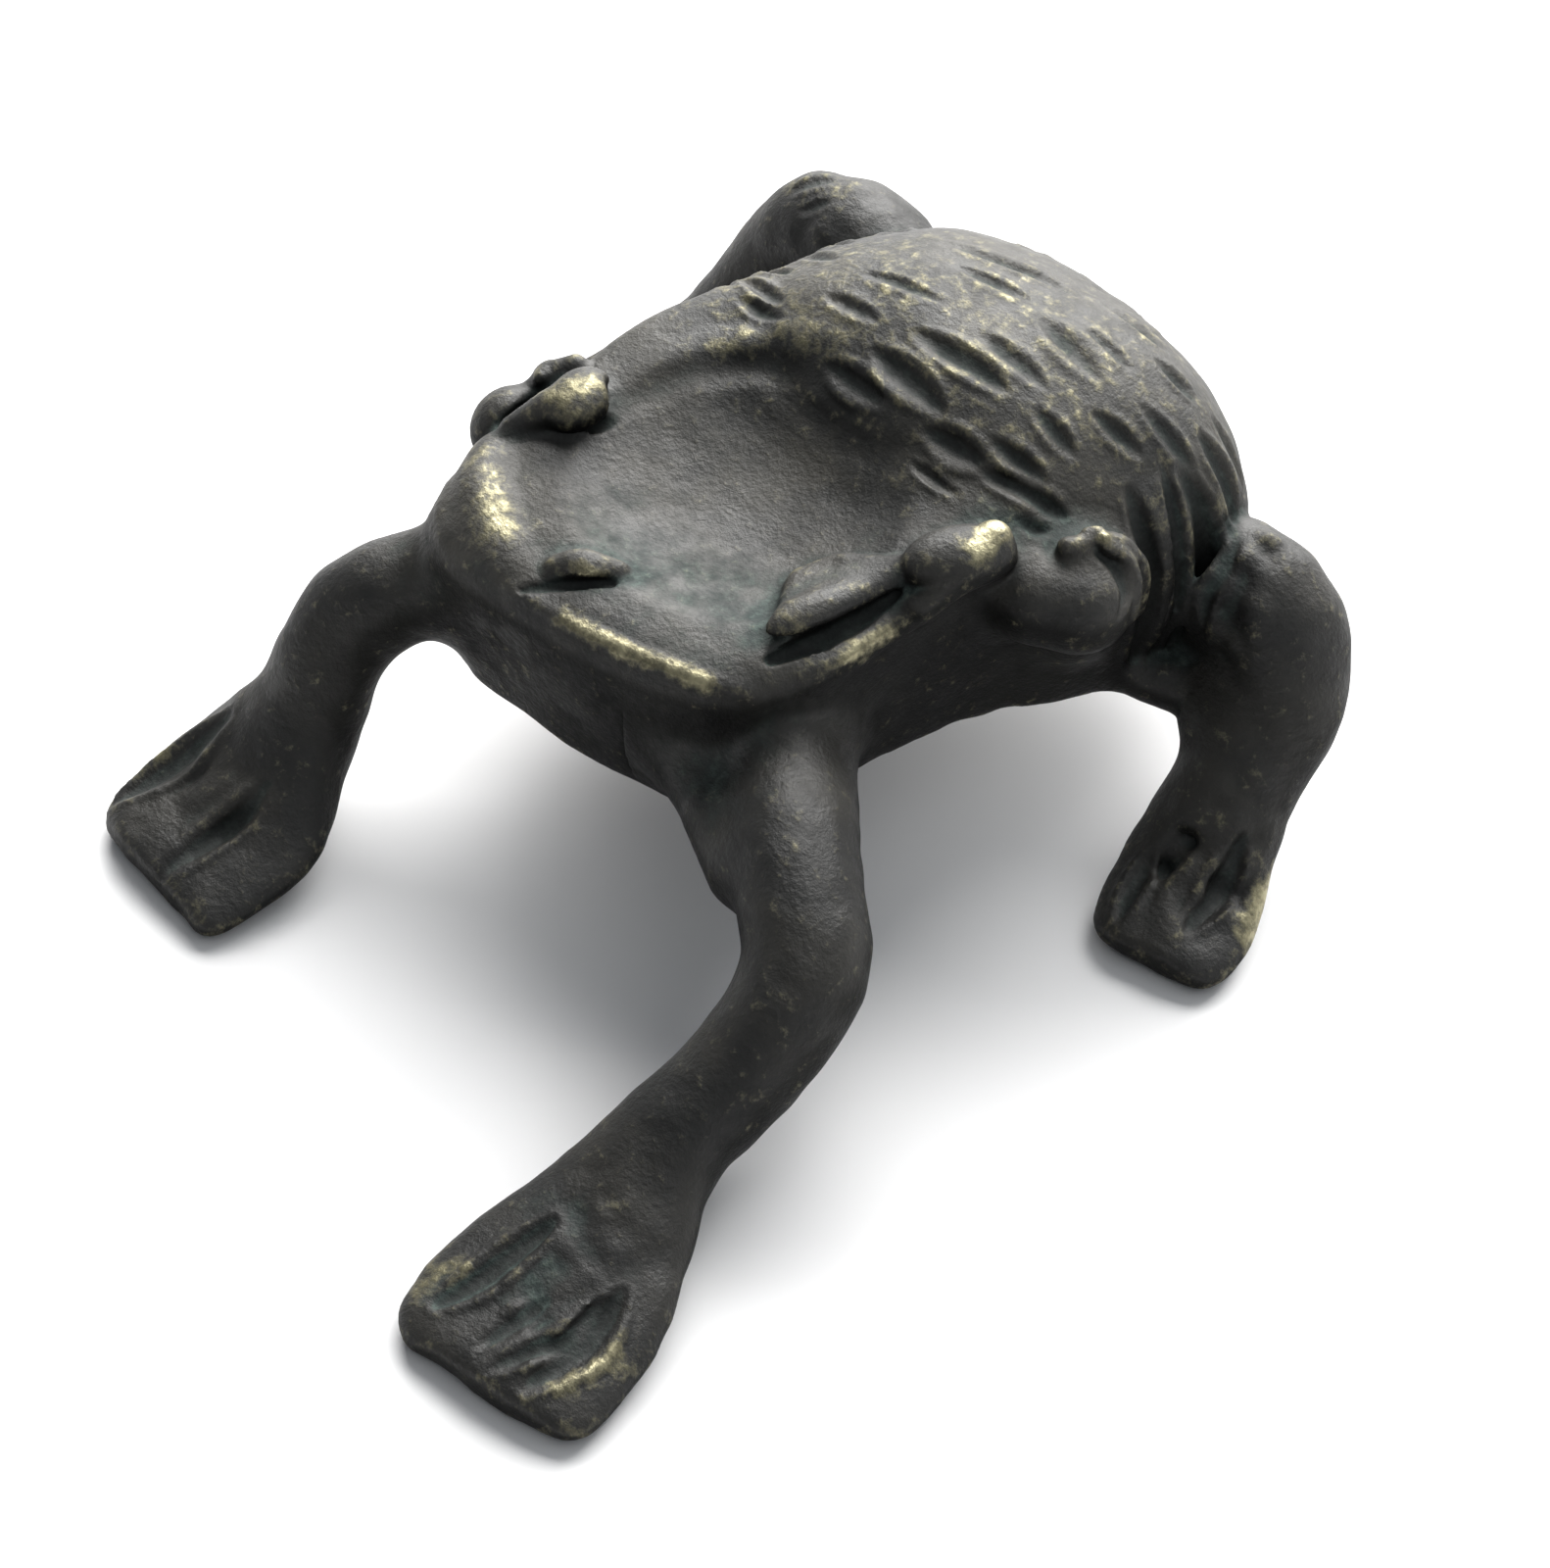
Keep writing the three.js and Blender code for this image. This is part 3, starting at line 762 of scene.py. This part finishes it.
def patina(name, tone_and_shade):
    """Dark bronze, greened in the hollows and rubbed to bare metal on the high spots, with painted shade:
    near-black on the steep sides and in the hollows.
    """
    nodes = Nodes(name)
    inputs = nodes.shader.inputs
    fine, rubbed, greened = (nodes.attribute(label) for label in ("fine_relief", "rubbed", "greened"))
    grain = nodes.noise(2600, 3)
    speck = nodes.noise(1300, 4, 0.7)
    cloud = nodes.noise(160, 4)
    mottle = nodes.noise(420, 5, 0.7)
    clouding = nodes.remap(cloud, 0.38, 0.62)

    # the tone scales the whole bronze of a slot; for the legs its low value is painted shade
    toned_and_shaded = [tuple(tone_and_shade * c for c in colour) for colour in (*BRONZE, SPECK)]
    body = nodes.mix(clouding, toned_and_shaded[0], toned_and_shaded[1])
    body = nodes.mix(nodes.remap(speck, 0.58, 0.74, 0, 0.5), body, toned_and_shaded[2])

    hollow = nodes.total((greened, 0.9), (fine, -3.5), (mottle, 1.1))
    green = nodes.remap(hollow, 0.62, 1.35, 0, 0.85)
    body = nodes.mix(green, body, nodes.mix(nodes.remap(speck, 0.45, 0.65), *VERDIGRIS))

    # painted shade by surface slope: sides facing away from the light get near-black colour and less specular
    split = nodes.add("ShaderNodeSeparateXYZ")
    nodes.feed(nodes.add("ShaderNodeNewGeometry").outputs["Normal"], split.inputs["Vector"])
    clear_of_painted_shade = nodes.remap(split.outputs["Z"], 0.0, 0.75)    # painted shade: steep and downward-facing sides are painted near-black, tops keep the bronze
    body = nodes.mix(clear_of_painted_shade, nodes.mix(clouding, *PAINTED_SHADE_BLACK), body)
    nodes.feed(nodes.remap(clear_of_painted_shade, 0, 1, 0.12, 0.5), inputs["Specular IOR Level"])

    # painted shade: the hollows are darkened towards near-black
    painted_hollow_shade = nodes.remap(nodes.combine("MULTIPLY", fine, -1.0), 0.03, 0.22, 0, 0.8)
    body = nodes.mix(painted_hollow_shade, body, HOLLOW_SHADE_BLACK)

    speck_swing = nodes.combine("SUBTRACT", speck, 0.5)
    mottle_swing = nodes.combine("SUBTRACT", mottle, 0.5)
    rub = nodes.total((rubbed, 1.0), (fine, 1.6), (speck_swing, 1.8), (mottle_swing, 0.6))
    worn = nodes.remap(rub, 0.18, 1.2)
    nodes.feed(nodes.mix(worn, body, BARE_METAL), inputs["Base Color"])
    nodes.feed(nodes.remap(worn, 0, 0.5, 0.0, 0.9), inputs["Metallic"])

    rough = nodes.total((nodes.remap(mottle, 0.3, 0.7, 0.50, 0.66), 1.0), (green, 0.25), (worn, -0.15))
    nodes.feed(rough, inputs["Roughness"])

    bump = nodes.add("ShaderNodeBump")
    nodes.feed(0.45, bump.inputs["Strength"])
    nodes.feed(BUMP_HEIGHT, bump.inputs["Distance"])
    nodes.feed(nodes.total((grain, 0.35), (speck, 0.65), (mottle, 0.35)), bump.inputs["Height"])
    nodes.feed(bump.outputs["Normal"], inputs["Normal"])
    return nodes.material


# each slot's bronze scaled by a tone; the legs' low tone is painted shade
TONES_AND_PAINTED_SHADE = {"shell_bronze": 1.1, "pellet_bronze": 1.0, "leg_bronze": 0.55}
FINISHES = {slot: patina(slot, tone_and_shade) for slot, tone_and_shade in TONES_AND_PAINTED_SHADE.items()}
for node, piece in pieces.items():
    piece.data.materials.append(FINISHES[SLOTS[node]])

# ---- floor, lights and camera ----


def paper():
    """Matt white paper."""
    material = bpy.data.materials.new("paper")
    material.use_nodes = True
    shader = material.node_tree.nodes["Principled BSDF"]
    shader.inputs["Base Color"].default_value = (0.86, 0.86, 0.87, 1)
    shader.inputs["Roughness"].default_value = 0.9
    return material


def make_floor():
    """A sheet of paper that reaches out of sight."""
    reach = 1.5
    mesh = bpy.data.meshes.new("floor")
    corners = [(-reach, -reach, 0), (reach, -reach, 0), (reach, reach, 0), (-reach, reach, 0)]
    mesh.from_pydata(corners, [], [(0, 1, 2, 3)])
    mesh.materials.append(paper())
    floor = bpy.data.objects.new("floor", mesh)
    bpy.context.scene.collection.objects.link(floor)


CENTRE = Vector(((CAD_BOX[0][0] + CAD_BOX[1][0]) / 2, (CAD_BOX[0][1] + CAD_BOX[1][1]) / 2, 0.009))


def bearing(azimuth, elevation):
    """The direction of something seen from the frog, clockwise from straight ahead of it."""
    turn, rise = math.radians(azimuth), math.radians(elevation)
    return Vector((math.sin(turn) * math.cos(rise), -math.cos(turn) * math.cos(rise), math.sin(rise)))


def aim(thing, target):
    """Turns a light or the camera towards a point."""
    direction = target - thing.location
    thing.rotation_euler = direction.to_track_quat("-Z", "Y").to_euler()


def make_light(name, azimuth, elevation, distance, size, power, colour):
    """A soft rectangular light turned to the frog."""
    data = bpy.data.lights.new(name, "AREA")
    data.shape = "RECTANGLE"
    data.size, data.size_y = size
    data.energy = power
    data.color = colour
    light = bpy.data.objects.new(name, data)
    light.location = CENTRE + bearing(azimuth, elevation) * distance
    bpy.context.scene.collection.objects.link(light)
    aim(light, CENTRE)


def make_camera(azimuth, elevation, distance, lens, aside):
    """The camera, turned to a point a little beside the middle of the frog."""
    data = bpy.data.cameras.new("camera")
    data.lens = lens
    data.clip_start = 0.01
    camera = bpy.data.objects.new("camera", data)
    target = CENTRE + Vector(aside)
    camera.location = target + bearing(azimuth, elevation) * distance
    bpy.context.scene.collection.objects.link(camera)
    aim(camera, target)
    bpy.context.scene.camera = camera


make_floor()
make_light("window", 210, 36, 0.9, (1.0, 0.9), 32, (1.0, 0.99, 0.97))
make_light("skylight", 110, 62, 0.9, (1.1, 1.1), 2.5, (0.97, 0.99, 1.0))
make_camera(azimuth=48, elevation=50, distance=0.230, lens=100, aside=(0.007843, 0.000423, 0.0))

world = bpy.data.worlds.new("studio")
world.use_nodes = True
world.node_tree.nodes["Background"].inputs["Color"].default_value = (0.9, 0.95, 1.0, 1)
world.node_tree.nodes["Background"].inputs["Strength"].default_value = 0.16
bpy.context.scene.world = world
bpy.context.scene.view_settings.view_transform = "Standard"
